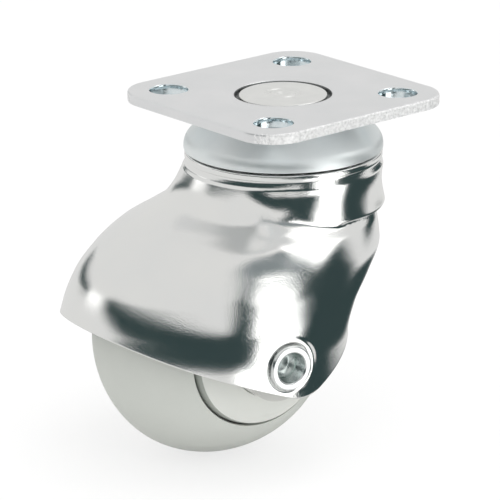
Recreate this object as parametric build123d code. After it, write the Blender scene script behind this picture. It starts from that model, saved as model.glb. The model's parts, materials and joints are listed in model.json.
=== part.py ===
"""Swivel plate castor with a ball shaped wheel in a drawn sheet hood.

Millimetres. The origin is the middle of the plate's top face, on the swivel axis, with Z up.
The plate's sides lie along X and Y. The hood trails towards -X, turned a little off it.
"""
from build123d import *
from math import cos, pi, radians, sin, sqrt, tan
import os

# Fixing plate
plate_size = 38.1
plate_thickness = 1.8
plate_corner_radius = 6.0
plate_edge_round = 0.35
hole_spacing = 25.4
hole_radius = 3.0
hole_edge_round = 0.45
recess_depth = 1.2
recess_gap = 0.5
recess_edge_round = 0.5

# Swivel rivet
kingpin_radius = 3.8
kingpin_head_radius = 7.1
kingpin_edge_round = 0.25
kingpin_dimple_radius = 1.7
kingpin_dimple_depth = 0.25
clench_height = 1.4
clench_overhang = 1.5

# Upper race, a cup pressed to a 45 degree cone with a turned down lip, as wide as the neck
race_sheet = 1.2
race_lip_length = 1.5
race_corner_radius = 2.6
race_height = 7.1

# Balls
upper_ball_radius = 2.0
lower_ball_radius = 1.5
lower_pitch_radius = 7.4
ball_clearance = 0.04
ball_spacing = 0.2
ball_margin = 0.3

# Lower race, a cup washer
lower_race_sheet = 1.3
lower_race_wall = 1.0
lower_race_rim = 1.1

# Hood, drawn from one sheet
sheet = 0.9
neck_radius = 15.7
neck_length = 9.35
neck_corner_radius = 1.2
bead_radius = 0.55
bead_edge_round = 0.5
groove_depth = 0.6
lip_gap = 0.35
king_hole_clearance = 0.7
swivel_rest = 7.6
hood_room_back = 4.0
hood_room_front = 0.3
flank_reach = 22.5
flank_bow = 1.2
flank_seat_radius = 4.2
flank_seat_depth = 0.3
rim_back_angle = 21.2
rim_front_angle = 22.5
rim_low_forward = 3.2
rim_low_drop = 6.25
rim_round = 8.4

# Wheel
wheel_radius = 20.0
wheel_trail = 13.5
swivel_gap = 0.8
tread_fullness = 1.78
tread_points_a_side = 6
tread_wall = 3.6
tread_seat_reach = 6.0
step_radius = 11.9
step_inset = 8.9
step_height = 1.4
step_slope = 0.7
step_round = 0.6
cap_wall = 1.6
cap_seat_depth = 2.0
cap_crown = 1.6
hub_radius = 6.2
web_thickness = 3.0
rim_wall = 2.4
rib_count = 8
rib_thickness = 1.2
rib_inset = 2.0
bush_wall = 0.9

# Axle
axle_radius = 2.95
axle_head_radius = 3.55
axle_head_height = 0.9
axle_head_round = 0.3
axle_hollow_radius = 2.4
axle_hollow_depth = 3.4
sleeve_wall = 0.8
side_washer_thickness = 0.4
side_washer_radius = 5.2
running_clearance = 0.06
seat_clearance = 0.02
end_play = 0.05

# Radii and ball counts about the swivel
race_lip_radius = neck_radius
upper_pitch_radius = race_lip_radius - race_sheet - ball_margin - upper_ball_radius
upper_ball_count = int(2 * pi * upper_pitch_radius / (2 * upper_ball_radius + ball_spacing))
lower_ball_count = int(2 * pi * lower_pitch_radius / (2 * lower_ball_radius + ball_spacing))

# Levels about the swivel, from the plate down
pressed_bottom = -plate_thickness - recess_depth
lip_bottom = -plate_thickness - race_height
cone_sum = race_lip_radius + lip_bottom + race_lip_length
inner_cone_sum = cone_sum - race_sheet * sqrt(2)
upper_ball_z = inner_cone_sum - (upper_ball_radius + ball_clearance) * sqrt(2) - upper_pitch_radius
floor_top = upper_ball_z - upper_ball_radius - ball_clearance
floor_bottom = floor_top - sheet
lower_ball_z = floor_bottom - lower_ball_radius - ball_clearance
lower_race_top = lower_ball_z - lower_ball_radius - ball_clearance
lower_race_bottom = lower_race_top - lower_race_sheet
lower_race_inner = lower_pitch_radius + lower_ball_radius + ball_clearance
bead_top = lip_bottom - lip_gap
neck_bottom = bead_top - neck_length

# Trailing direction of the hood, and the wheel's place just clear of the lower race
forward = Vector(cos(radians(swivel_rest)), -sin(radians(swivel_rest)), 0)
near_side = Vector(-sin(radians(swivel_rest)), -cos(radians(swivel_rest)), 0)
axle_z = lower_race_bottom - swivel_gap - wheel_radius
wheel_frame = Plane(forward * -wheel_trail + Vector(0, 0, axle_z), x_dir=forward, z_dir=near_side)

# Reaches along the axle, from the wheel's middle out
flank_inside = flank_reach - sheet - flank_bow
side_washer_outside = flank_inside - end_play
hub_reach = side_washer_outside - side_washer_thickness - end_play
flank_seat_reach = flank_reach - flank_seat_depth
sleeve_radius = axle_radius + seat_clearance + sleeve_wall
bush_inside = sleeve_radius + running_clearance
bush_outside = bush_inside + bush_wall
step_reach = flank_reach - step_inset
core_reach = step_reach - cap_seat_depth
core_radius = wheel_radius - tread_wall


def turned(outline, rounds=()):
    """Solid turned about Z from (radius, level) corners, with some of its corners rounded."""
    face = make_face(Polyline(*outline, close=True))
    for place, radius in rounds:
        corner = face.vertices().sort_by_distance((*place, 0))[0]
        face = fillet(corner, radius)
    return revolve(Plane.XZ * face, axis=Axis.Z)


def tube(outside, inside, low, high):
    """Plain tube about Z."""
    return turned([(inside, low), (outside, low), (outside, high), (inside, high)])


def rod(radius, low, high):
    """Plain rod about Z."""
    return Pos(0, 0, low) * Cylinder(radius, high - low, align=(Align.CENTER, Align.CENTER, Align.MIN))


def on_axle(shape):
    """Shape turned about Z, moved to the axle with Z towards the near side."""
    return wheel_frame.location * shape


def mirrored(shape):
    """The same piece at the far end of the axle."""
    return mirror(shape, about=Plane.XY)


def circles(shape, radius):
    """Round edges of a shape that have this radius."""
    return shape.edges().filter_by(GeomType.CIRCLE).filter_by(lambda edge: round(edge.radius - radius, 3) == 0)


def top_plate():
    """Stamped square plate with a pressed middle for the rivet head and four rounded holes."""
    blank = extrude(RectangleRounded(plate_size, plate_size, plate_corner_radius), -plate_thickness)
    blank = fillet(blank.faces().sort_by(Axis.Z)[-1].edges(), plate_edge_round)
    recess_radius = kingpin_head_radius + recess_gap
    pressed_radius = recess_radius + plate_thickness
    blank += rod(pressed_radius, pressed_bottom, -plate_thickness)
    blank -= rod(recess_radius, -recess_depth, 0)
    blank = fillet(circles(blank, recess_radius).group_by(Axis.Z)[-1], recess_edge_round)
    blank -= rod(kingpin_radius, pressed_bottom, -recess_depth)
    for place in GridLocations(hole_spacing, hole_spacing, 2, 2):
        blank -= place * rod(hole_radius, -plate_thickness, 0)
    return fillet(circles(blank, hole_radius).group_by(Axis.Z)[-1], hole_edge_round)


def kingpin():
    """Rivet with a broad turned head, its lower end clenched over the lower race."""
    clench_radius = kingpin_radius + clench_overhang
    clench_bottom = lower_race_bottom - clench_height
    return turned(
        [
            (0, -kingpin_dimple_depth),
            (kingpin_dimple_radius - kingpin_dimple_depth, -kingpin_dimple_depth),
            (kingpin_dimple_radius, 0),
            (kingpin_head_radius, 0),
            (kingpin_head_radius, -recess_depth),
            (kingpin_radius, -recess_depth),
            (kingpin_radius, lower_race_bottom),
            (clench_radius, lower_race_bottom),
            (clench_radius, clench_bottom),
            (0, clench_bottom),
        ],
        rounds=[((kingpin_head_radius, 0), kingpin_edge_round), ((clench_radius, clench_bottom), clench_height / 2)],
    )


def upper_race():
    """Cup under the plate, which carries the upper balls in its cone."""
    inner_lip = race_lip_radius - race_sheet
    disc_bottom = pressed_bottom - race_sheet
    outer_corner = (race_lip_radius, cone_sum - race_lip_radius)
    inner_corner = (inner_lip, inner_cone_sum - inner_lip)
    outer_shoulder = (cone_sum - pressed_bottom, pressed_bottom)
    return turned(
        [
            (kingpin_radius, pressed_bottom),
            outer_shoulder,
            outer_corner,
            (race_lip_radius, lip_bottom),
            (inner_lip, lip_bottom),
            inner_corner,
            (inner_cone_sum - disc_bottom, disc_bottom),
            (kingpin_radius, disc_bottom),
        ],
        rounds=[
            (outer_shoulder, race_sheet),
            (outer_corner, race_corner_radius),
            (inner_corner, race_corner_radius - race_sheet),
        ],
    )


def ball_ring(count, pitch, radius, level):
    """Loose balls of one race, evenly spaced."""
    balls = [Pos(0, 0, level) * place * Sphere(radius) for place in PolarLocations(pitch, count)]
    return Compound(children=balls)


def lower_race():
    """Cup washer under the lower balls, clamped by the rivet's clenched end."""
    outside = lower_race_inner + lower_race_wall
    rim_top = lower_race_top + lower_race_rim
    return turned(
        [
            (kingpin_radius, lower_race_bottom),
            (outside, lower_race_bottom),
            (outside, rim_top),
            (lower_race_inner, rim_top),
            (lower_race_inner, lower_race_top),
            (kingpin_radius, lower_race_top),
        ],
        rounds=[((outside, lower_race_bottom), lower_race_wall / 2)],
    )


# Hood sections from the neck down to the axle and on to the skirt. Each row holds the level as a share
# of that drop, then how far the back, the front and the half width have gone from neck to skirt size.
hood_rows = (
    (0.00, 0.02, 0.00, 0.00),
    (0.06, 0.05, 0.00, 0.03),
    (0.15, 0.18, 0.00, 0.11),
    (0.23, 0.37, 0.00, 0.27),
    (0.31, 0.56, -0.03, 0.48),
    (0.44, 0.74, -0.05, 0.70),
    (0.60, 0.87, 0.29, 0.88),
    (0.79, 0.95, 0.77, 0.98),
    (1.00, 1.00, 1.00, 1.00),
    (1.15, 1.00, 1.00, 1.00),
    (1.37, 1.00, 1.00, 1.00),
)
hood_start_drop = 3.15
hood_start_inset = (0.3, 1.4, 1.5)


def hood_form(inset):
    """Solid of the hood's shell, or of the room inside it when inset by the sheet."""
    skirt_back = wheel_trail + wheel_radius + hood_room_back + sheet
    skirt_front = wheel_radius + hood_room_front + sheet - wheel_trail
    start = [neck_radius - gap for gap in hood_start_inset]
    end = [skirt_back, skirt_front, flank_reach]
    start_z = bead_top - hood_start_drop
    sections = []
    for drop, *shares in hood_rows:
        back, front, half = [a + (b - a) * share - inset for a, b, share in zip(start, end, shares)]
        level = start_z + (axle_z - start_z) * drop - inset / 2
        middle = forward * ((front - back) / 2) + Vector(0, 0, level)
        sections.append(Plane(middle, x_dir=forward, z_dir=(0, 0, 1)) * Ellipse((front + back) / 2, half))
    return loft(sections)


def neck_form():
    """Outside of the hood's neck, with the rolled bead and groove under the dish."""
    bead_middle = bead_top - bead_radius
    bead_outside = neck_radius - bead_radius / 2
    floor_radius = bead_outside - 2 * bead_radius
    groove_level = bead_top - 3 * bead_radius
    neck_top = groove_level - groove_depth
    return turned(
        [
            (0, floor_top),
            (floor_radius, floor_top),
            (floor_radius, bead_top),
            (bead_outside, bead_top),
            (bead_outside, bead_middle - bead_radius / 2),
            (neck_radius - groove_depth, groove_level),
            (neck_radius, neck_top),
            (neck_radius, neck_bottom),
            (0, neck_bottom),
        ],
        rounds=[
            ((floor_radius, bead_top), bead_edge_round),
            ((bead_outside, bead_top), bead_edge_round),
            ((neck_radius, neck_bottom), sheet / 2),
        ],
    )


def rim_cutter():
    """Everything below the trimmed rim: two straight cuts that meet in a round under the axle."""
    far = 2 * (wheel_radius + wheel_trail)
    low = -rim_low_drop
    back = (rim_low_forward - far, low + far * tan(radians(rim_back_angle)))
    front = (rim_low_forward + far, low + far * tan(radians(rim_front_angle)))
    face = make_face(Polyline(back, (rim_low_forward, low), front, (front[0], -far), (back[0], -far), close=True))
    face = fillet(face.vertices().sort_by_distance((rim_low_forward, low, 0))[0], rim_round)
    return extrude(wheel_frame * face, far, both=True)


def hood():
    """Drawn sheet hood: neck, ball shaped shell, trimmed rim and seats for the axle's heads."""
    shell = neck_form() + hood_form(0)
    neck_inside = neck_radius - sheet
    neck_floor = neck_bottom + sheet
    room = turned(
        [(0, floor_bottom), (neck_inside, floor_bottom), (neck_inside, neck_floor), (0, neck_floor)],
        rounds=[((neck_inside, floor_bottom), neck_corner_radius)],
    )
    shell -= room + hood_form(sheet)
    shell -= rim_cutter()
    shell -= rod(kingpin_radius + king_hole_clearance, floor_bottom, floor_top)
    shell -= on_axle(rod(axle_radius + seat_clearance, -flank_reach, flank_reach))
    seat = rod(flank_seat_radius, flank_seat_reach, flank_reach + sheet)
    shell -= on_axle(seat + mirrored(seat))
    return shell


def tread():
    """Grey outer wheel, a full rounded crown that runs down to the step of the caps."""
    power = 2 / tread_fullness
    step_share = 1 - (step_radius / wheel_radius) ** tread_fullness
    full_reach = step_reach / step_share ** (1 / tread_fullness)
    crown = []
    for index in range(-tread_points_a_side, tread_points_a_side + 1):
        reach = step_reach * sin(pi / 2 * index / tread_points_a_side)
        share = 1 - (abs(reach) / full_reach) ** tread_fullness
        crown.append((wheel_radius * share ** (1 / tread_fullness), reach))
    outside = Spline(*crown)
    inside = Polyline(
        crown[-1], (step_radius, core_reach), (core_radius, tread_seat_reach),
        (core_radius, -tread_seat_reach), (step_radius, -core_reach), crown[0],
    )
    return on_axle(revolve(Plane.XZ * make_face(outside + inside), axis=Axis.Z))


def wheel_core():
    """Hard core: rim under the tread, web, ribs and a hub that takes the bush."""
    half_web = web_thickness / 2
    rim_inside = core_radius - rim_wall
    mouth = step_radius - rim_wall
    rim = turned(
        [
            (mouth, -core_reach), (step_radius, -core_reach), (core_radius, -tread_seat_reach),
            (core_radius, tread_seat_reach), (step_radius, core_reach), (mouth, core_reach),
            (rim_inside, tread_seat_reach), (rim_inside, half_web), (hub_radius, half_web),
            (hub_radius, -half_web), (rim_inside, -half_web), (rim_inside, -tread_seat_reach),
        ]
    )
    core = rim + tube(hub_radius, bush_outside, -hub_reach, hub_reach)
    rib_length = rim_inside - hub_radius + rim_wall / 2
    rib = Pos(hub_radius - rim_wall / 4 + rib_length / 2, 0, 0) * Box(
        rib_length, rib_thickness, 2 * (tread_seat_reach - rib_inset)
    )
    for place in PolarLocations(0, rib_count):
        core += place * rib
    return on_axle(core)


def hub_cap():
    """Stepped disc that closes one side of the core, built on the near side about Z."""
    step_top = step_reach + step_height
    crown_top = step_top + cap_crown
    inside = hub_radius + seat_clearance
    plug = step_radius - rim_wall - seat_clearance
    under = core_reach - cap_seat_depth
    shoulder = (step_radius - step_slope, step_top)
    return turned(
        [
            (step_radius - seat_clearance, core_reach),
            (step_radius - seat_clearance, step_reach),
            shoulder,
            (inside, crown_top),
            (inside, crown_top - cap_wall),
            (plug - cap_wall, step_top - cap_wall),
            (plug - cap_wall, under),
            (plug, under),
            (plug, core_reach),
        ],
        rounds=[(shoulder, step_round)],
    )


def axle():
    """Rivet pin with drilled ends, a thin head seated on each flank."""
    end = flank_seat_reach + axle_head_height
    bottom = end - axle_hollow_depth
    half = turned(
        [
            (0, 0), (axle_radius, 0), (axle_radius, flank_seat_reach), (axle_head_radius, flank_seat_reach),
            (axle_head_radius, end), (axle_hollow_radius, end), (axle_hollow_radius, bottom), (0, bottom),
        ],
        rounds=[
            ((axle_head_radius, end), axle_head_round),
            ((axle_hollow_radius, end), axle_head_round),
            ((axle_hollow_radius, bottom), axle_hollow_radius / 2),
        ],
    )
    return half + mirrored(half)


pieces = {
    "top_plate": top_plate(),
    "kingpin": kingpin(),
    "upper_race": upper_race(),
    "upper_balls": ball_ring(upper_ball_count, upper_pitch_radius, upper_ball_radius, upper_ball_z),
    "lower_balls": ball_ring(lower_ball_count, lower_pitch_radius, lower_ball_radius, lower_ball_z),
    "lower_race": lower_race(),
    "hood": hood(),
    "axle": on_axle(axle()),
    "axle_sleeve": on_axle(tube(sleeve_radius, axle_radius + seat_clearance, -flank_inside, flank_inside)),
    "tread": tread(),
    "wheel_core": wheel_core(),
    "wheel_bush": on_axle(tube(bush_outside, bush_inside, -hub_reach, hub_reach)),
    "hub_cap_near": on_axle(hub_cap()),
    "hub_cap_far": on_axle(mirrored(hub_cap())),
}
washer_inside = sleeve_radius + seat_clearance
side_washer = tube(side_washer_radius, washer_inside, hub_reach + end_play, side_washer_outside)
pieces["side_washer_near"] = on_axle(side_washer)
pieces["side_washer_far"] = on_axle(mirrored(side_washer))

os.makedirs("parts", exist_ok=True)
for name, shape in pieces.items():
    shape.label = name
    export_step(shape, f"parts/{name}.step")
    print(name, round(shape.volume, 2))
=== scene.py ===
# Swivel plate castor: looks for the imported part, in metres, in the part's own frame
import bmesh
import bpy
import json
import random
from math import atan2, cos, degrees, exp, pi, radians, sin, sqrt, tan
from mathutils import Matrix, Vector


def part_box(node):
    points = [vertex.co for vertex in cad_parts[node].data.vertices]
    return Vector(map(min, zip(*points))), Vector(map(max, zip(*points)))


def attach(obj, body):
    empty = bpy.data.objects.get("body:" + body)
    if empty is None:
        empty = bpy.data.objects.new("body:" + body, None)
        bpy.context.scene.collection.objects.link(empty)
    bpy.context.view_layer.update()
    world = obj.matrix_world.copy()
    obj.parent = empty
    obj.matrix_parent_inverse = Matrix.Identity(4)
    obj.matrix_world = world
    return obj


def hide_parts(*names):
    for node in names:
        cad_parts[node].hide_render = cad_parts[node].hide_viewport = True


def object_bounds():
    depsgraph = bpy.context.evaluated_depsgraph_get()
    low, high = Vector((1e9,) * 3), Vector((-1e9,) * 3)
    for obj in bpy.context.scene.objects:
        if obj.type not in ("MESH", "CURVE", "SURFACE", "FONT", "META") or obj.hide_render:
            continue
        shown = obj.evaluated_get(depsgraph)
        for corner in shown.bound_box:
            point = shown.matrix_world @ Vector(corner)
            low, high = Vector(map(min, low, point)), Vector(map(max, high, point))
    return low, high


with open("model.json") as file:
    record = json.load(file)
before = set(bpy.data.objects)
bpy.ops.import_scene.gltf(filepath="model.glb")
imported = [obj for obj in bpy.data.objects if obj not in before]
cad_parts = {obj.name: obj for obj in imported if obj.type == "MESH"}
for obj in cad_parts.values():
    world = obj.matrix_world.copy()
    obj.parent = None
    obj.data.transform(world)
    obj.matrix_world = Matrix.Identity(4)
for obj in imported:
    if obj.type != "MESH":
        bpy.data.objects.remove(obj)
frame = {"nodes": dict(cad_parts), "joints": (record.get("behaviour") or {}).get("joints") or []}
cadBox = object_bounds()
mm = 0.001
weldDistance = 0.002 * mm
roundSteps = 5  # segments of each rounded corner of a spun outline
worldUp = Vector((0, 0, 1))

# The axle's place and direction come from the frame's own joint
wheelRoll = next(joint for joint in frame["joints"] if joint["name"] == "wheel_roll")
wheelCentre = Vector(wheelRoll["pos_m"])
nearSide = Vector(wheelRoll["axis"]).normalized()
forward = worldUp.cross(nearSide)
axleFrame = Matrix.Translation(wheelCentre) @ Matrix((forward, worldUp, nearSide)).transposed().to_4x4()
farTurn = Matrix.Scale(-1, 4, worldUp)


# Mesh helpers

def newPiece(name, bm, materials, body, node, sharpAngle=30):
    # turns a finished bmesh into a piece that rides on a body and stands for a CAD node
    bmesh.ops.recalc_face_normals(bm, faces=bm.faces)
    mesh = bpy.data.meshes.new(name)
    bm.to_mesh(mesh)
    bm.free()
    for material in materials:
        mesh.materials.append(made[material])
    mesh.shade_smooth()
    mesh.set_sharp_from_angle(angle=radians(sharpAngle))
    piece = bpy.data.objects.new(name, mesh)
    bpy.context.scene.collection.objects.link(piece)
    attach(piece, body)
    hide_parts(node)
    return piece


def spunProfile(corners, steps, closed=True):
    # corners are (radius, height, rounding) in mm; the outline is rounded, then spun about Z
    bm = bmesh.new()
    verts = [bm.verts.new((radius * mm, 0, height * mm)) for radius, height, rounding in corners]
    pairs = list(zip(verts, verts[1:]))
    if closed:
        pairs.append((verts[-1], verts[0]))
    for first, second in pairs:
        bm.edges.new((first, second))
    for vert, (radius, height, rounding) in zip(verts, corners):
        if rounding > 0:
            bmesh.ops.bevel(bm, geom=[vert], offset=rounding * mm, segments=roundSteps, profile=0.5,
                            affect="VERTICES", material=-1)
    bmesh.ops.spin(bm, geom=bm.verts[:] + bm.edges[:], cent=(0, 0, 0), axis=(0, 0, 1),
                   angle=2 * pi, steps=steps, use_merge=True)
    bmesh.ops.remove_doubles(bm, verts=bm.verts, dist=weldDistance)
    return bm


def mergedCopy(node):
    # a CAD node's own shape, with its corners merged so that its rounds shade smoothly
    bm = bmesh.new()
    bm.from_mesh(frame["nodes"][node].data)
    bmesh.ops.remove_doubles(bm, verts=bm.verts, dist=weldDistance)
    return bm


# Finishes: one shared group makes the grain, and each finish places it with its own values

grainShape = {
    "grainDetail": 3,
    "cloudDetail": 4,
    "cloudInHeight": 0.35,
    "noiseLow": 0.3,
    "noiseHigh": 0.7,
}


def newGroup(name, inputs, outputs):
    group = bpy.data.node_groups.new(name, "ShaderNodeTree")
    for label, kind, value in inputs:
        socket = group.interface.new_socket(name=label, in_out="INPUT", socket_type=kind)
        socket.default_value = value
    for label, kind in outputs:
        group.interface.new_socket(name=label, in_out="OUTPUT", socket_type=kind)
    return group, group.nodes.new("NodeGroupInput"), group.nodes.new("NodeGroupOutput")


def buildGrainGroup():
    # fine sheet grain with a soft cloud on top: one mask for colour, one for roughness, one height
    group, start, end = newGroup(
        "sheetGrain",
        [("Grain size", "NodeSocketFloat", 0.2), ("Cloud size", "NodeSocketFloat", 8.0)],
        [("Grain", "NodeSocketFloat"), ("Cloud", "NodeSocketFloat"), ("Height", "NodeSocketFloat")],
    )
    nodes, links = group.nodes, group.links
    coords = nodes.new("ShaderNodeTexCoord")
    grain = nodes.new("ShaderNodeTexNoise")
    grain.inputs["Detail"].default_value = grainShape["grainDetail"]
    cloud = nodes.new("ShaderNodeTexNoise")
    cloud.inputs["Detail"].default_value = grainShape["cloudDetail"]
    for texture, label in ((grain, "Grain size"), (cloud, "Cloud size")):
        scale = nodes.new("ShaderNodeMath")
        scale.operation = "DIVIDE"
        scale.inputs[0].default_value = 1 / mm
        links.new(start.outputs[label], scale.inputs[1])
        links.new(coords.outputs["Object"], texture.inputs["Vector"])
        links.new(scale.outputs[0], texture.inputs["Scale"])
    mixed = nodes.new("ShaderNodeMath")
    mixed.operation = "MULTIPLY_ADD"
    mixed.inputs[1].default_value = grainShape["cloudInHeight"]
    links.new(cloud.outputs["Fac"], mixed.inputs[0])
    links.new(grain.outputs["Fac"], mixed.inputs[2])
    links.new(grain.outputs["Fac"], end.inputs["Grain"])
    links.new(cloud.outputs["Fac"], end.inputs["Cloud"])
    links.new(mixed.outputs[0], end.inputs["Height"])
    return group


sheetGrain = buildGrainGroup()


def newMaterial(name, colour, metallic, roughness):
    material = bpy.data.materials.new(name)
    material.use_nodes = True
    shader = material.node_tree.nodes["Principled BSDF"]
    shader.inputs["Base Color"].default_value = (*colour, 1)
    shader.inputs["Metallic"].default_value = metallic
    shader.inputs["Roughness"].default_value = roughness
    return material, shader


def mapNoise(tree, source, low, high):
    # spreads the part of a noise that it really uses over a range of values
    node = tree.nodes.new("ShaderNodeMapRange")
    node.inputs["From Min"].default_value = grainShape["noiseLow"]
    node.inputs["From Max"].default_value = grainShape["noiseHigh"]
    node.inputs["To Min"].default_value = low
    node.inputs["To Max"].default_value = high
    tree.links.new(source, node.inputs["Value"])
    return node.outputs["Result"]


def grainedMaterial(name, look):
    # colour, roughness and bump all come from the shared grain
    material, shader = newMaterial(name, look["colour"], look["metallic"], look["roughness"])
    tree = material.node_tree
    grain = tree.nodes.new("ShaderNodeGroup")
    grain.node_tree = sheetGrain
    grain.inputs["Grain size"].default_value = look["grainSize"]
    grain.inputs["Cloud size"].default_value = look["cloudSize"]
    tint = tree.nodes.new("ShaderNodeMix")
    tint.data_type = "RGBA"
    tint.inputs["A"].default_value = (*look["darkColour"], 1)
    tint.inputs["B"].default_value = (*look["colour"], 1)
    tree.links.new(mapNoise(tree, grain.outputs["Cloud"], 0, 1), tint.inputs["Factor"])
    tree.links.new(tint.outputs["Result"], shader.inputs["Base Color"])
    spread = look["roughnessSpread"]
    rough = mapNoise(tree, grain.outputs["Cloud"], look["roughness"] - spread, look["roughness"] + spread)
    tree.links.new(rough, shader.inputs["Roughness"])
    bump = tree.nodes.new("ShaderNodeBump")
    bump.inputs["Strength"].default_value = look["bumpStrength"]
    bump.inputs["Distance"].default_value = look["bumpDepth"] * mm
    tree.links.new(grain.outputs["Height"], bump.inputs["Height"])
    tree.links.new(bump.outputs["Normal"], shader.inputs["Normal"])
    return material


# Grain and cloud sizes and bump depths are in mm
finishes = {
    "plateZinc": dict(
        colour=(0.93, 0.93, 0.94), darkColour=(0.87, 0.88, 0.89), metallic=1, roughness=0.36,
        roughnessSpread=0.05, grainSize=0.25, cloudSize=9, bumpStrength=0.25, bumpDepth=0.02),
    "shearedZinc": dict(
        colour=(0.88, 0.88, 0.88), darkColour=(0.58, 0.58, 0.58), metallic=0.2, roughness=0.4,
        roughnessSpread=0.1, grainSize=0.3, cloudSize=0.5, bumpStrength=0.6, bumpDepth=0.05),
    "holeZinc": dict(
        colour=(0.92, 0.98, 1.0), darkColour=(0.70, 0.80, 0.84), metallic=1, roughness=0.16,
        roughnessSpread=0.05, grainSize=0.3, cloudSize=1.2, bumpStrength=0.3, bumpDepth=0.02),
    # painted shade: a dark colour that stands in for the shade in the gap round the swivel rivet
    "paintedGapShade": dict(
        colour=(0.24, 0.25, 0.25), darkColour=(0.16, 0.17, 0.17), metallic=1, roughness=0.4,
        roughnessSpread=0.05, grainSize=0.3, cloudSize=1.2, bumpStrength=0.3, bumpDepth=0.02),
    "rivetZinc": dict(
        colour=(0.95, 0.95, 0.935), darkColour=(0.88, 0.885, 0.87), metallic=1, roughness=0.34,
        roughnessSpread=0.06, grainSize=0.3, cloudSize=3, bumpStrength=0.3, bumpDepth=0.02),
    # painted shade: a darker teal-grey that stands in for the shade inside the axle's hollow ends
    "paintedHollowShade": dict(
        colour=(0.70, 0.76, 0.74), darkColour=(0.58, 0.64, 0.63), metallic=1, roughness=0.26,
        roughnessSpread=0.05, grainSize=0.25, cloudSize=1.5, bumpStrength=0.3, bumpDepth=0.02),
    "raceSatin": dict(
        colour=(0.96, 0.99, 0.99), darkColour=(0.87, 0.92, 0.93), metallic=0.9, roughness=0.44,
        roughnessSpread=0.05, grainSize=0.25, cloudSize=7, bumpStrength=0.5, bumpDepth=0.03),
    "hoodPlating": dict(
        colour=(0.93, 0.93, 0.915), darkColour=(0.90, 0.905, 0.90), metallic=1, roughness=0.09,
        roughnessSpread=0.02, grainSize=0.2, cloudSize=10, bumpStrength=1.0, bumpDepth=0.018),
    "axleZinc": dict(
        colour=(0.84, 0.85, 0.85), darkColour=(0.72, 0.74, 0.74), metallic=1, roughness=0.2,
        roughnessSpread=0.05, grainSize=0.25, cloudSize=3, bumpStrength=0.3, bumpDepth=0.02),
    "ballSteel": dict(
        colour=(0.80, 0.80, 0.81), darkColour=(0.74, 0.74, 0.75), metallic=1, roughness=0.1,
        roughnessSpread=0.02, grainSize=0.5, cloudSize=2, bumpStrength=0.05, bumpDepth=0.01),
    "treadGrey": dict(
        colour=(0.58, 0.595, 0.56), darkColour=(0.55, 0.565, 0.53), metallic=0, roughness=0.5,
        roughnessSpread=0.06, grainSize=0.3, cloudSize=12, bumpStrength=0.2, bumpDepth=0.02),
    "capGrey": dict(
        colour=(0.68, 0.69, 0.655), darkColour=(0.65, 0.66, 0.625), metallic=0, roughness=0.38,
        roughnessSpread=0.04, grainSize=0.3, cloudSize=9, bumpStrength=0.15, bumpDepth=0.01),
    # painted shade: a dark grey that stands in for the shade on the wall of each raised cap
    "paintedWallShade": dict(
        colour=(0.34, 0.36, 0.33), darkColour=(0.30, 0.32, 0.29), metallic=0, roughness=0.5,
        roughnessSpread=0.04, grainSize=0.3, cloudSize=9, bumpStrength=0.15, bumpDepth=0.01),
    "innerPlastic": dict(
        colour=(0.60, 0.60, 0.57), darkColour=(0.54, 0.54, 0.52), metallic=0, roughness=0.45,
        roughnessSpread=0.05, grainSize=0.4, cloudSize=6, bumpStrength=0.15, bumpDepth=0.01),
}
made = {name: grainedMaterial(name, look) for name, look in finishes.items()}
print("finishes made", len(made))


# Hood: neck with a rolled bead, ball shaped shell, trimmed rim

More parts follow.
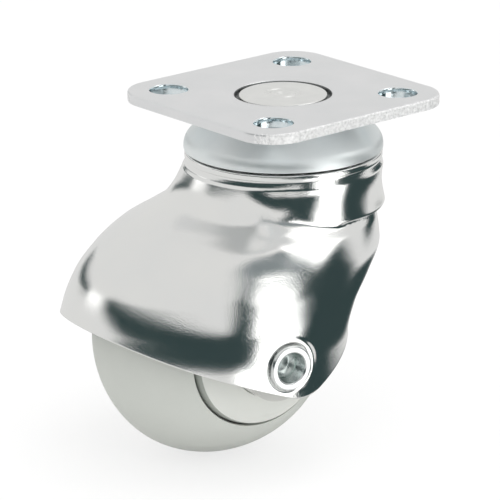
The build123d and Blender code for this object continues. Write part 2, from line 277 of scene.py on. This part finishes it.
# Lengths in mm, levels below the plate's top face, bearings in degrees from the hood's front to either side.
# Each of the rows gives a share of the way down to the axle, then how far the shell's oval has grown there
# from start to skirt: to the back, to the front and to the sides.
hoodShape = {
    "neckRadius": 15.7,
    "flareTop": -12.7,
    "flareCurve": 1.3,
    "flareFront": 0.25,
    "flareSide": 0.55,
    "flareBearing": 117,
    "flareSpread": 22,
    "coneBearing": 127,
    "coneSpread": 22,
    "coneSlope": 0.52,
    "neckEdge": -17.5,
    "neckBottom": -18.6,
    "neckTuck": 2.4,
    "tuckBearing": 96,
    "tuckSpread": 16,
    "waist": 0.3,
    "waistBearing": 92,
    "waistSpread": 24,
    "foldLine": ((-13.8, 9.6, -14.9), (-13.0, 11.6, -15.9), (-12.3, 14.1, -17.3), (-11.2, 16.7, -18.9)),
    "foldHeight": 0.2,
    "foldWidth": 1.6,
    "shellTop": -11.7,
    "startLevel": -12.4,
    "axleLevel": wheelCentre.z / mm,
    "trail": sqrt(wheelCentre.x ** 2 + wheelCentre.y ** 2) / mm,
    "start": (15.4, 14.3, 14.2),
    "skirt": (38.4, 7.7, 22.5),
    "rows": (
        (-0.04, 0.00, 0.00, 0.00), (0.00, 0.02, 0.00, 0.00), (0.06, 0.06, 0.00, 0.02),
        (0.15, 0.18, 0.00, 0.08), (0.23, 0.37, 0.00, 0.25), (0.31, 0.56, -0.03, 0.48),
        (0.44, 0.74, -0.05, 0.70), (0.60, 0.87, 0.29, 0.88), (0.79, 0.95, 0.77, 0.98),
        (1.00, 1.00, 1.00, 1.00), (1.15, 1.00, 1.00, 1.00), (1.40, 1.00, 1.00, 1.00),
    ),
    "bead": (
        (4.5, -10.52), (13.9, -10.52), (14.25, -10.35), (14.4, -9.9), (14.6, -9.45), (14.95, -9.28),
        (15.3, -9.3), (15.49, -9.38), (15.56, -9.48), (15.58, -9.6), (15.59, -9.95), (15.58, -10.25),
        (15.52, -10.36), (15.38, -10.44), (15.37, -10.52), (15.42, -10.72), (15.5, -11.0), (15.59, -11.3),
        (15.64, -11.42),
    ),
    "beadWall": 0.25,  # share of the sheet's thickness that the bead's rows keep
    "blend": 0.3,
    "blendBehind": 1.6,
    "blendBearing": 107,
    "blendSpread": 22,
    "rimBack": tan(radians(21.2)),
    "rimFront": tan(radians(22.5)),
    "rimForward": 3.2,
    "rimDrop": 6.25,
    "rimRound": 2.6,
    "sheet": 0.9,
    "axleHole": 3.0,
    "seatRadius": 3.45,
    "seatRound": 0.6,
    "seatDepth": 0.4,
    "bossReach": 22.25,
    "bossRadius": 4.6,
    "bossSlope": 1.2,
    "bossRound": 0.25,
    "flankCrowding": 0.2,  # draws the columns of the mesh together at the flanks
    "columns": 264,
    "shellRows": 140,
    "weld": 0.001,
    "sharpAngle": 50,
}


def smoothMax(a, b, width):
    share = min(max(0.5 + 0.5 * (a - b) / width, 0), 1)
    return b + (a - b) * share + width * share * (1 - share)


def smoothStep(share):
    share = min(max(share, 0), 1)
    return share * share * (3 - 2 * share)


def alongRows(share, column):
    # monotone cubic through the section rows, so that the sheet neither ripples nor overshoots
    rows = hoodShape["rows"]
    index = 0
    while index < len(rows) - 2 and share > rows[index + 1][0]:
        index += 1

    def slope(i):
        if i == 0:
            return (rows[1][column] - rows[0][column]) / (rows[1][0] - rows[0][0])
        if i == len(rows) - 1:
            return 0
        before = (rows[i][column] - rows[i - 1][column]) / (rows[i][0] - rows[i - 1][0])
        after = (rows[i + 1][column] - rows[i][column]) / (rows[i + 1][0] - rows[i][0])
        return 0 if before * after <= 0 else 2 * before * after / (before + after)

    low, high = rows[index], rows[index + 1]
    step = high[0] - low[0]
    t = min(max((share - low[0]) / step, 0), 1)
    ease = t * t * (3 - 2 * t)
    return (low[column] * (1 - ease) + high[column] * ease
            + step * slope(index) * t * (1 - t) ** 2 - step * slope(index + 1) * t * t * (1 - t))


def hoodSection(level):
    # middle, half length and half width of the shell's oval at one level
    drop = (level - hoodShape["startLevel"]) / (hoodShape["axleLevel"] - hoodShape["startLevel"])
    back, front, half = [a + (b - a) * alongRows(drop, column + 1)
                         for column, (a, b) in enumerate(zip(hoodShape["start"], hoodShape["skirt"]))]
    return (front - back) / 2, (front + back) / 2, half


def ovalReach(middle, length, width, origin, angle):
    # distance from a point on the long axis to the oval
    dx, dy, offset = cos(angle), sin(angle), origin - middle
    a = (dx / length) ** 2 + (dy / width) ** 2
    b = 2 * offset * dx / length ** 2
    c = (offset / length) ** 2 - 1
    return (-b + sqrt(max(b * b - 4 * a * c, 0))) / (2 * a)


def rimLevel(ahead):
    # two straight cuts that meet in a round under the axle
    back = -hoodShape["rimDrop"] + (hoodShape["rimForward"] - ahead) * hoodShape["rimBack"]
    front = -hoodShape["rimDrop"] + (ahead - hoodShape["rimForward"]) * hoodShape["rimFront"]
    return hoodShape["axleLevel"] + smoothMax(back, front, hoodShape["rimRound"])


def neckRadius(level, turned):
    # flared at the sides, a cone behind, a slight waist in front, and rounded in under its lower edge
    edge = hoodShape["neckEdge"]
    reached = max(level, edge)
    side = exp(-((turned - hoodShape["flareBearing"]) / hoodShape["flareSpread"]) ** 2)
    share = max(hoodShape["flareTop"] - reached, 0) / (hoodShape["flareTop"] - edge)
    flare = (hoodShape["flareFront"] + hoodShape["flareSide"] * side) * share ** hoodShape["flareCurve"]
    behind = smoothStep((turned - hoodShape["coneBearing"]) / hoodShape["coneSpread"])
    cone = hoodShape["coneSlope"] * (hoodShape["shellTop"] - reached)
    inFront = smoothStep((hoodShape["waistBearing"] - turned) / hoodShape["waistSpread"])
    down = min(max((hoodShape["shellTop"] - level) / (hoodShape["shellTop"] - edge), 0), 1)
    waist = hoodShape["waist"] * inFront * sin(pi * down)
    ledge = smoothStep((hoodShape["tuckBearing"] - turned) / hoodShape["tuckSpread"])
    under = max(edge - level, 0) / (edge - hoodShape["neckBottom"])
    tuck = hoodShape["neckTuck"] * ledge * (1 - sqrt(1 - under ** 2))
    return hoodShape["neckRadius"] + flare * (1 - behind) + cone * behind - waist - tuck


def foldLift(point):
    # how far the soft fold behind the neck lifts the sheet at a point
    corners = [Vector(corner) for corner in hoodShape["foldLine"]]
    distance = min(
        (point - (a + (b - a) * min(max((point - a).dot(b - a) / (b - a).length_squared, 0), 1))).length
        for a, b in zip(corners, corners[1:])
    )
    return hoodShape["foldHeight"] * exp(-(distance / hoodShape["foldWidth"]) ** 2)


def seated(ahead, aside, level):
    # raises a flat boss round the axle where the flank falls away, and sinks the axle head's seat
    side = 1 if aside > 0 else -1
    distance = sqrt((ahead + hoodShape["trail"]) ** 2 + (level - hoodShape["axleLevel"]) ** 2)
    if distance > 2 * hoodShape["bossRadius"]:
        return ahead, aside, level
    boss = hoodShape["bossReach"] - max(distance - hoodShape["bossRadius"], 0) * hoodShape["bossSlope"]
    raised = smoothMax(abs(aside), boss, hoodShape["bossRound"])
    fade = smoothStep((distance - hoodShape["seatRadius"]) / hoodShape["seatRound"])
    return ahead, side * (raised - hoodShape["seatDepth"] * (1 - fade)), level


def shellPoint(angle, share):
    # one point of the shell's outside, in the hood's own directions
    middle, length, width = hoodSection(hoodShape["axleLevel"])
    ahead = middle + ovalReach(middle, length, width, middle, angle) * cos(angle) + hoodShape["trail"]
    level = hoodShape["shellTop"] + (rimLevel(ahead) - hoodShape["shellTop"]) * share
    middle, length, width = hoodSection(level)
    reach = ovalReach(middle, length, width, middle, angle)
    if level > hoodShape["neckBottom"]:
        turned = degrees(abs(atan2(reach * sin(angle), middle + reach * cos(angle))))
        radius = neckRadius(level, turned)
        behind = smoothStep((turned - hoodShape["blendBearing"]) / hoodShape["blendSpread"])
        blend = hoodShape["blend"] + (hoodShape["blendBehind"] - hoodShape["blend"]) * behind
        reach = smoothMax(reach, ovalReach(0, radius, radius, middle, angle), blend)
    reach += foldLift(Vector((middle + reach * cos(angle), reach * sin(angle), level)))
    return seated(middle + reach * cos(angle), reach * sin(angle), level)


def buildHood():
    bm = bmesh.new()
    beadRows = len(hoodShape["bead"])
    rows = beadRows + hoodShape["shellRows"]
    bmesh.ops.create_grid(bm, x_segments=hoodShape["columns"], y_segments=rows - 1, size=1)
    thin = bm.verts.layers.deform.verify()
    for vert in bm.verts:
        angle = (vert.co.x + 1) * pi
        angle += hoodShape["flankCrowding"] * sin(2 * angle)
        row = round((1 - vert.co.y) / 2 * (rows - 1))
        if row < beadRows:
            radius, level = hoodShape["bead"][row]
            ahead, aside = radius * cos(angle), radius * sin(angle)
            vert[thin][0] = hoodShape["beadWall"]
        else:
            ahead, aside, level = shellPoint(angle, (row - beadRows) / (hoodShape["shellRows"] - 1))
            vert[thin][0] = 1
        vert.co = (forward * ahead + nearSide * aside + worldUp * level) * mm
    bmesh.ops.remove_doubles(bm, verts=bm.verts, dist=hoodShape["weld"] * mm)
    holeReach = hoodShape["axleHole"] * mm
    drilled = [face for face in bm.faces
               if (face.calc_center_median() - wheelCentre).cross(nearSide).length < holeReach]
    bmesh.ops.delete(bm, geom=drilled, context="FACES")
    hood = newPiece("hood_shell", bm, ["hoodPlating"], "hood_body", "hood",
                    hoodShape["sharpAngle"])
    hood.vertex_groups.new(name="wall")
    wall = hood.modifiers.new("wall", "SOLIDIFY")
    wall.thickness = hoodShape["sheet"] * mm
    wall.offset = -1
    wall.vertex_group = "wall"


buildHood()
print("hood made")


# Plate: stamped sheet with two sheared sides, four rounded holes and a softly dished middle

# Each section runs over the sheet's surface as (inset or radius, level) in mm
plateShape = {
    "half": 19.05,
    "corner": 6.0,
    "columns": 880,
    "edge": (
        (1.2, 0.0), (0.7, -0.01), (0.4, -0.04), (0.2, -0.11), (0.06, -0.24), (0.0, -0.42), (0.0, -0.7),
        (0.0, -1.0), (0.0, -1.3), (0.0, -1.6), (0.06, -1.76), (0.3, -1.8), (0.8, -1.8),
    ),
    "roughFrom": -0.5,
    "roughTo": -1.7,
    "roughDepth": 0.06,
    "roughCurve": 1.5,
    "seed": 4,
    "holePitch": 12.7,
    "hole": (
        (3.6, 0.0), (3.4, -0.015), (3.24, -0.06), (3.12, -0.14), (3.04, -0.27), (3.0, -0.45), (3.0, -1.1),
        (3.0, -1.7), (3.1, -1.8), (3.4, -1.8),
    ),
    "holeSteps": 48,
    "holeWallTop": -0.2,
    "holeWallRadius": 3.1,
    "holeClear": 4,
    "middle": (
        (11.6, 0.0), (11.0, -0.015), (10.4, -0.06), (9.8, -0.13), (9.2, -0.22), (8.6, -0.3), (8.1, -0.35),
        (7.85, -0.42), (7.68, -0.58), (7.6, -0.8), (7.6, -1.2), (3.9, -1.2), (3.9, -3.0), (8.9, -3.0),
        (9.25, -2.9), (9.4, -2.6), (9.4, -1.9), (9.7, -1.8),
    ),
    "middleSteps": 128,
    "shadedGapRadius": 7.66,
    "shearedTurn": 0.3,  # how far a face turns to a sheared side before it is grey, and how far that varies
    "shearedVaries": 0.4,
    # the last finish is painted shade in the rivet's gap
    "finishes": ("plateZinc", "shearedZinc", "holeZinc", "paintedGapShade"),  # sheet, sides, hole walls, rivet's gap
    "sharpAngle": 40,
}


def plateOutline(count):
    # evenly spaced places round the plate with their outward directions
    straight = plateShape["half"] - plateShape["corner"]
    side = 2 * straight + pi / 2 * plateShape["corner"]
    places = []
    for index in range(count):
        corner, along = divmod(index * 4 * side / count, side)
        if along < 2 * straight:
            place, out = Vector((straight - along, plateShape["half"], 0)), Vector((0, 1, 0))
        else:
            turn = pi / 2 + (along - 2 * straight) / plateShape["corner"]
            out = Vector((cos(turn), sin(turn), 0))
            place = Vector((-straight, straight, 0)) + out * plateShape["corner"]
        quarterTurn = Matrix.Rotation(corner * pi / 2, 3, "Z")
        places.append((quarterTurn @ place, quarterTurn @ out))
    return places


def joinRings(bm, rings):
    # closed rings of points, each joined to the next by quads; gives back the first and last ring's edges
    loops = [[bm.verts.new(point * mm) for point in ring] for ring in rings]
    for upper, lower in zip(loops, loops[1:]):
        for index in range(len(upper)):
            after = (index + 1) % len(upper)
            bm.faces.new((upper[index], upper[after], lower[after], lower[index]))
    return [[bm.edges.get(pair) for pair in zip(loop, loop[1:] + loop[:1])]
            for loop in (loops[0], loops[-1])]


def circle(centre, radius, level, count):
    return [centre + Vector((radius * cos(2 * pi * i / count), radius * sin(2 * pi * i / count), level))
            for i in range(count)]


def buildPlate():
    bm = bmesh.new()
    chance = random.Random(plateShape["seed"])
    places = plateOutline(plateShape["columns"])
    bites = [plateShape["roughDepth"] * chance.random() ** plateShape["roughCurve"] for place in places]
    rings = []
    for inset, level in plateShape["edge"]:
        rough = plateShape["roughTo"] < level < plateShape["roughFrom"]
        rings.append([place - out * (inset + bite * rough * abs(out.y)) + worldUp * level
                      for (place, out), bite in zip(places, bites)])
    top, bottom = joinRings(bm, rings)
    pitch = plateShape["holePitch"]
    openings = [(Vector((x, y, 0)), "hole", plateShape["holeSteps"])
                for x in (-pitch, pitch) for y in (-pitch, pitch)]
    openings.append((Vector(), "middle", plateShape["middleSteps"]))
    for centre, section, count in openings:
        ends = joinRings(bm, [circle(centre, radius, level, count) for radius, level in plateShape[section]])
        top += ends[0]
        bottom += ends[1]
    for edges in (top, bottom):
        bmesh.ops.triangle_fill(bm, edges=edges, use_beauty=True)
    bmesh.ops.recalc_face_normals(bm, faces=bm.faces)
    for face in bm.faces:
        centre = face.calc_center_median() / mm
        fromHole = Vector((abs(centre.x) - pitch, abs(centre.y) - pitch)).length
        outside = abs(centre.y) > pitch and fromHole > plateShape["holeClear"]
        # faces inside the rivet's gap take the painted shade
        if Vector((centre.x, centre.y)).length < plateShape["shadedGapRadius"]:
            face.material_index = 3
        elif fromHole < plateShape["holeWallRadius"] and centre.z < plateShape["holeWallTop"]:
            face.material_index = 2
        elif abs(face.normal.y) > plateShape["shearedTurn"] + plateShape["shearedVaries"] * chance.random():
            face.material_index = 1 if outside else 0
    plate = newPiece("mounting_plate", bm, plateShape["finishes"], "plate", "top_plate",
                     plateShape["sharpAngle"])
    plate.modifiers.new("normals", "WEIGHTED_NORMAL").keep_sharp = True


buildPlate()
print("plate made")


# Swivel rivet: a turned head with faint rings and a hollow middle, clenched below

# The outline runs from the middle of the head to the middle of the foot, as (radius, level, rounding) in mm
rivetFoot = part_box("kingpin")[0].z / mm
rivetShape = {
    "outline": (
        (0, -0.9, 0), (0.8, -0.85, 0.2), (1.3, -0.42, 0.12), (1.8, -0.4, 0.1), (2.1, -0.68, 0.08),
        (2.7, -0.66, 0.08), (3.0, -0.38, 0.1), (6.3, -0.32, 0.5), (6.95, -0.6, 0.18), (6.95, -1.2, 0),
        (3.8, -1.2, 0), (3.8, rivetFoot + 1.4, 0), (5.3, rivetFoot + 1.4, 0), (5.3, rivetFoot, 0.7),
        (0, rivetFoot, 0),
    ),
    "steps": 96,
}
rivet = spunProfile(rivetShape["outline"], rivetShape["steps"], closed=False)
newPiece("swivel_rivet", rivet, ["rivetZinc"], "plate", "kingpin")


# Axle: the part's own shape, with painted shade in its hollow ends

axleShape = {
    "hollowRadius": 2.38,
}


def buildAxle():
    bm = mergedCopy("axle")
    for face in bm.faces:
        fromCentre = face.calc_center_median() - wheelCentre
        # faces inside the hollow take the painted shade
        if fromCentre.cross(nearSide).length < axleShape["hollowRadius"] * mm:
            face.material_index = 1
    newPiece("axle_finished", bm, ["axleZinc", "paintedHollowShade"], "hood_body", "axle")


buildAxle()


# Wheel: full crown, and on each side a raised cap behind a narrow groove, with painted shade on the cap's
# wall

# The cap's outline is (radius, reach from the wheel's middle, rounding) in mm
wheelShape = {
    "radius": 19.99,
    "fullness": 1.78,
    "stepReach": 13.75,
    "stepRadius": 12.0,
    "stepDrop": 0.15,
    "stepTuck": 0.08,
    "grooveReach": 13.1,
    "grooveTuck": 0.1,
    "seatRadius": 16.4,
    "seatReach": 6.0,
    "crownPoints": 28,
    "steps": 160,
    "cap": ((6.25, 12.9, 0), (6.25, 16.5, 0.25), (10.4, 15.45, 0.9), (11.4, 14.6, 0.5), (11.66, 13.1, 0),
            (9.5, 13.1, 0), (9.5, 12.9, 0)),
    "capSteps": 128,
    "shadedWallReach": 14.75,
    "shadedWallRadius": 11.2,
}


def buildTread():
    power = wheelShape["fullness"]
    stepRadius, stepReach = wheelShape["stepRadius"], wheelShape["stepReach"]
    fullReach = stepReach / (1 - (stepRadius / wheelShape["radius"]) ** power) ** (1 / power)
    crown = []
    for index in range(-wheelShape["crownPoints"], wheelShape["crownPoints"] + 1):
        reach = stepReach * sin(pi / 2 * index / wheelShape["crownPoints"])
        share = 1 - (abs(reach) / fullReach) ** power
        crown.append((wheelShape["radius"] * share ** (1 / power), reach, 0))
    groove = [(stepRadius - wheelShape["stepTuck"], stepReach - wheelShape["stepDrop"], 0),
              (stepRadius - wheelShape["grooveTuck"], wheelShape["grooveReach"], 0),
              (wheelShape["seatRadius"], wheelShape["seatReach"], 0)]
    farGroove = [(radius, -reach, 0) for radius, reach, rounding in reversed(groove)]
    bm = spunProfile(crown + groove + farGroove, wheelShape["steps"])
    bmesh.ops.transform(bm, matrix=axleFrame, verts=bm.verts)
    newPiece("tread_finished", bm, ["treadGrey"], "wheel", "tread")


def buildCap(node, turn):
    bm = spunProfile(wheelShape["cap"], wheelShape["capSteps"])
    for face in bm.faces:
        centre = face.calc_center_median() / mm
        fromAxis = Vector((centre.x, centre.y)).length
        # the cap's wall takes the painted shade
        if centre.z < wheelShape["shadedWallReach"] and fromAxis > wheelShape["shadedWallRadius"]:
            face.material_index = 1
    bmesh.ops.transform(bm, matrix=axleFrame @ turn, verts=bm.verts)
    newPiece(node + "_finished", bm, ["capGrey", "paintedWallShade"], "wheel", node)


buildTread()
buildCap("hub_cap_near", Matrix())
buildCap("hub_cap_far", farTurn)


# Races: the part's own shapes; the pieces inside keep the part's meshes and only get a finish

for node in ("upper_race", "lower_race"):
    newPiece(node + "_finished", mergedCopy(node), ["raceSatin"], "plate", node)
for finish, nodes in (
    ("ballSteel", ("upper_balls", "lower_balls")),
    ("axleZinc", ("axle_sleeve",)),
    ("innerPlastic", ("wheel_core", "wheel_bush", "side_washer_near", "side_washer_far")),
):
    for node in nodes:
        materials = frame["nodes"][node].data.materials
        materials.clear()
        materials.append(made[finish])
print("pieces made")


# Camera: direction and roll in degrees, distance and sideways places in mm

cameraPlace = {
    "azimuth": -39.748,
    "elevation": 17.939,
    "roll": -0.588,
    "distance": 586.76,
    "across": -5.150,
    "upward": -24.963,
    "lens": 270.3,
    "clipEnd": 20,
}


def buildCamera():
    azimuth, elevation, roll = (radians(cameraPlace[key]) for key in ("azimuth", "elevation", "roll"))
    back = Vector((sin(azimuth) * cos(elevation), -cos(azimuth) * cos(elevation), sin(elevation)))
    right = Vector((cos(azimuth), sin(azimuth), 0))
    upward = back.cross(right)
    rolledRight = right * cos(roll) + upward * sin(roll)
    rolledUp = -right * sin(roll) + upward * cos(roll)
    place = (back * cameraPlace["distance"] + rolledRight * cameraPlace["across"]
             + rolledUp * cameraPlace["upward"])
    data = bpy.data.cameras.new("photoCamera")
    data.lens = cameraPlace["lens"]
    data.clip_end = cameraPlace["clipEnd"]
    camera = bpy.data.objects.new("photoCamera", data)
    turn = Matrix((rolledRight, rolledUp, back)).transposed().to_4x4()
    camera.matrix_world = Matrix.Translation(place * mm) @ turn
    bpy.context.scene.collection.objects.link(camera)
    bpy.context.scene.camera = camera


buildCamera()


# Room: a white floor, a pale tent, soft lamps, and cards that the bright metal mirrors

room = {
    "floorSize": 3,
    "floorColour": (0.95, 0.95, 0.95),
    "floorRoughness": 0.9,
    "floorWhite": 0.75,  # share of plain white in what the camera sees of the floor
    "tentColour": (1, 1, 0.99),
    "tentInMetal": 0.74,
    "cardColumns": 90,
    "cardRows": 40,
}
lamps = {
    "topBox": {"place": (-0.1, -0.2, 0.6), "size": (0.5, 0.5), "power": 1.6},
    "frontBox": {"place": (-0.35, -0.4, -0.02), "size": (0.5, 0.2), "power": 0.55},
}

# Each card is a patch of a sphere round the castor. Its rows hold the bearing from the camera's side,
# to the camera's right, then the lowest and highest elevation there, all in degrees.
darkCloth = (0.036, 0.058, 0.059)
greyCloth = (0.22, 0.25, 0.26)
lampCloth = (1.0, 1.0, 0.99)
cards = {
    "streakGap": {
        "radius": 1.5, "colour": darkCloth, "strength": 1.0, "soft": 4,
        "rows": ((-155, -2, 6), (-140, 0, 11), (-125, 4, 15), (-116, 8, 14)),
    },
    "lowGap": {
        "radius": 1.5, "colour": darkCloth, "strength": 1.0, "soft": 3,
        "rows": ((-95, 13, 23), (-85, 10, 26), (-60, 3, 28), (-45, 0, 29), (-30, -3, 28), (-15, -7, 25),
                 (0, -11, 20), (10, -15, 16), (20, -17, 13), (32, -17, 7), (42, -17, -5)),
    },
    "boxFrame": {
        "radius": 1.45, "colour": darkCloth, "strength": 1.0, "soft": 4,
        "rows": ((17, -8, 38), (22, -12, 45), (31, -13, 47), (37, -14, 14)),
    },
    "boxGap": {
        "radius": 1.42, "colour": greyCloth, "strength": 1.0, "soft": 5,
        "rows": ((18, 48, 64), (27, 43, 69), (40, 38, 69), (52, 30, 64), (60, 19, 58), (66, 12, 42),
                 (74, 8, 24)),
    },
    "rightGap": {
        "radius": 1.4, "colour": darkCloth, "strength": 1.0, "soft": 4,
        "rows": ((59, 10, 30), (65, 0, 30), (71, -10, 26), (77, -20, 22), (82, -36, 22), (88, -40, 24),
                 (94, -40, 24), (99, -40, 10), (103, -40, 2), (110, -40, -12), (120, -40, -18),
                 (140, -40, -20), (175, -36, -21)),
    },
    "sideGap": {
        "radius": 1.41, "colour": darkCloth, "strength": 1.0, "soft": 3,
        "rows": ((120, -4, 8), (132, -9, 6), (152, -12, 3)),
    },
    "spotBox": {
        "radius": 1.5, "colour": lampCloth, "strength": 1.3, "soft": 4,
        "rows": ((-119, 4, 16), (-97, 9, 21)),
    },
    "softBox": {
        "radius": 1.6, "colour": lampCloth, "strength": 1.7, "soft": 3,
        "rows": ((26, -45, 46), (40, -45, 45), (50, -45, 41), (60, -45, 32), (70, -42, 12), (78, -30, -8)),
    },
    "sideBox": {
        "radius": 1.6, "colour": lampCloth, "strength": 1.7, "soft": 3,
        "rows": ((62, 20, 40), (68, 18, 56), (75, 14, 68), (84, 16, 78), (99, 20, 80)),
    },
}


def betweenRows(rows, place):
    # straight-line values of the other columns at a place in the first column
    for low, high in zip(rows, rows[1:]):
        if place <= high[0]:
            break
    share = min(max((place - low[0]) / (high[0] - low[0]), 0), 1)
    return [a + (b - a) * share for a, b in zip(low[1:], high[1:])]


def stagePiece(name, bm, material):
    mesh = bpy.data.meshes.new(name)
    bm.to_mesh(mesh)
    bm.free()
    mesh.materials.append(material)
    piece = bpy.data.objects.new(name, mesh)
    bpy.context.scene.collection.objects.link(piece)
    return piece


def cardMaterial(name, card):
    # glows as the card's colour and fades to nothing along its soft edges
    material = bpy.data.materials.new(name)
    material.use_nodes = True
    tree = material.node_tree
    glow = tree.nodes.new("ShaderNodeEmission")
    glow.inputs["Color"].default_value = (*card["colour"], 1)
    glow.inputs["Strength"].default_value = card["strength"]
    clear = tree.nodes.new("ShaderNodeBsdfTransparent")
    cover = tree.nodes.new("ShaderNodeAttribute")
    cover.attribute_name = "cover"
    mixed = tree.nodes.new("ShaderNodeMixShader")
    tree.links.new(cover.outputs["Fac"], mixed.inputs["Fac"])
    tree.links.new(clear.outputs["BSDF"], mixed.inputs[1])
    tree.links.new(glow.outputs["Emission"], mixed.inputs[2])
    tree.links.new(mixed.outputs["Shader"], tree.nodes["Material Output"].inputs["Surface"])
    return material


def buildCard(name, card):
    rows = card["rows"]
    first, last = rows[0][0], rows[-1][0]
    bm = bmesh.new()
    cover = bm.verts.layers.float.new("cover")
    bmesh.ops.create_grid(bm, x_segments=room["cardColumns"], y_segments=room["cardRows"], size=1)
    for vert in bm.verts:
        bearing = first + (last - first) * (vert.co.x + 1) / 2
        low, high = betweenRows(rows, bearing)
        height = low + (high - low) * (vert.co.y + 1) / 2
        fromEdge = min(bearing - first, last - bearing, height - low, high - height)
        vert[cover] = smoothStep(fromEdge / card["soft"])
        turn = radians(bearing + cameraPlace["azimuth"] - 90)
        elevation = radians(height)
        direction = Vector((cos(turn) * cos(elevation), sin(turn) * cos(elevation), sin(elevation)))
        vert.co = direction * card["radius"]
    piece = stagePiece(name, bm, cardMaterial(name, card))
    piece.visible_camera = False
    piece.visible_shadow = False


def buildFloor():
    bm = bmesh.new()
    bmesh.ops.create_grid(bm, x_segments=1, y_segments=1, size=room["floorSize"])
    bmesh.ops.translate(bm, verts=bm.verts, vec=(0, 0, cadBox[0].z))
    material, shader = newMaterial("floorWhite", room["floorColour"], 0, room["floorRoughness"])
    tree = material.node_tree
    path = tree.nodes.new("ShaderNodeLightPath")
    share = tree.nodes.new("ShaderNodeMapRange")
    share.inputs["To Min"].default_value = 0
    share.inputs["To Max"].default_value = room["floorWhite"]
    white = tree.nodes.new("ShaderNodeEmission")
    mixed = tree.nodes.new("ShaderNodeMixShader")
    tree.links.new(path.outputs["Is Camera Ray"], share.inputs["Value"])
    tree.links.new(share.outputs["Result"], mixed.inputs["Fac"])
    tree.links.new(shader.outputs["BSDF"], mixed.inputs[1])
    tree.links.new(white.outputs["Emission"], mixed.inputs[2])
    tree.links.new(mixed.outputs["Shader"], tree.nodes["Material Output"].inputs["Surface"])
    floor = stagePiece("floor", bm, material)
    floor.visible_glossy = False


def buildWorld():
    # the tent is a little greyer in the metal than behind the castor
    world = bpy.data.worlds.new("studio")
    bpy.context.scene.world = world
    world.use_nodes = True
    tree = world.node_tree
    background = tree.nodes["Background"]
    background.inputs["Color"].default_value = (*room["tentColour"], 1)
    path = tree.nodes.new("ShaderNodeLightPath")
    level = tree.nodes.new("ShaderNodeMapRange")
    level.inputs["To Min"].default_value = 1.0
    level.inputs["To Max"].default_value = room["tentInMetal"]
    tree.links.new(path.outputs["Is Glossy Ray"], level.inputs["Value"])
    tree.links.new(level.outputs["Result"], background.inputs["Strength"])


def buildLamp(name, look):
    data = bpy.data.lights.new(name, "AREA")
    data.shape = "RECTANGLE"
    data.size, data.size_y = look["size"]
    data.energy = look["power"]
    lamp = bpy.data.objects.new(name, data)
    place = Vector(look["place"])
    turn = (-place).to_track_quat("-Z", "Y").to_matrix().to_4x4()
    lamp.matrix_world = Matrix.Translation(place) @ turn
    bpy.context.scene.collection.objects.link(lamp)
    lamp.visible_glossy = False


bpy.context.scene.view_settings.view_transform = "Standard"
for name, card in cards.items():
    buildCard(name, card)
buildFloor()
buildWorld()
for name, look in lamps.items():
    buildLamp(name, look)
print("stage made")
